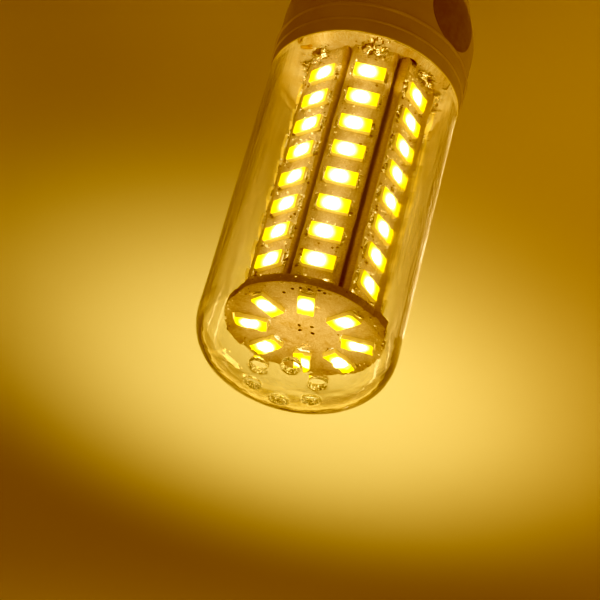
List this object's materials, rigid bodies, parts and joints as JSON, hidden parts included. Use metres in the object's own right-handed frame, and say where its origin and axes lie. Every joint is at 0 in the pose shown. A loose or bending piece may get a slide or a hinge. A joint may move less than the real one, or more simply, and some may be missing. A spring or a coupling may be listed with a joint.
{
  "type": "led light bulb",
  "caption": "Corn-style LED bulb with an eight-sided cage of LED strips, an LED end disk, a clear vented cover, a moulded housing and an E27 screw cap.",
  "frame": {"origin": "tip of the cap's centre contact, on the axis of the cap, the housing and the cover", "axes": "+Z along the bulb from the screw cap to the tip of the dome; -Y is the side of LED strip 1"},
  "size_m": [0.037, 0.037, 0.1243],
  "materials": {
    "cap_metal": "nickel-plated, rolled",
    "insulator_glass": "black glass",
    "contact_brass": "pressed",
    "solder": "soldered, glossy",
    "housing_plastic": "moulded, satin gloss",
    "label": "satin, blank",
    "clear_plastic": "clear moulded polycarbonate, lightly scratched",
    "white_board": "white solder mask",
    "strip_board": "off-white solder mask, flux stained",
    "led_package": "white body with yellow phosphor, lit",
    "driver_laminate": "paper laminate",
    "film_capacitor": "dipped resin",
    "capacitor_sleeve": "shrunk sleeve",
    "black_moulding": "epoxy moulding",
    "resistor_body": "lacquered",
    "red_insulation": "extruded",
    "black_insulation": "extruded"
  },
  "bodies": {
    "root": {"cap_shell": "cap_metal", "cap_insulator": "insulator_glass", "centre_contact": "contact_brass", "contact_solder": "solder", "housing": "housing_plastic", "blank_label": "label", "clear_cover": "clear_plastic", "base_plate": "white_board", "end_disk": "strip_board", "disk_leds": "led_package", "led_strip_1": "strip_board", "led_strip_2": "strip_board", "led_strip_3": "strip_board", "led_strip_4": "strip_board", "led_strip_5": "strip_board", "led_strip_6": "strip_board", "led_strip_7": "strip_board", "led_strip_8": "strip_board", "strip_leds_1": "led_package", "strip_leds_2": "led_package", "strip_leds_3": "led_package", "strip_leds_4": "led_package", "strip_leds_5": "led_package", "strip_leds_6": "led_package", "strip_leds_7": "led_package", "strip_leds_8": "led_package", "base_solder": "solder", "disk_solder": "solder", "driver_board": "driver_laminate", "film_capacitor": "film_capacitor", "smoothing_capacitor": "capacitor_sleeve", "bridge_rectifier": "black_moulding", "bleeder_resistor": "resistor_body", "fuse_resistor": "resistor_body", "live_lead": "red_insulation", "neutral_lead": "black_insulation", "positive_lead": "red_insulation", "negative_lead": "black_insulation"}
  },
  "joints": []
}
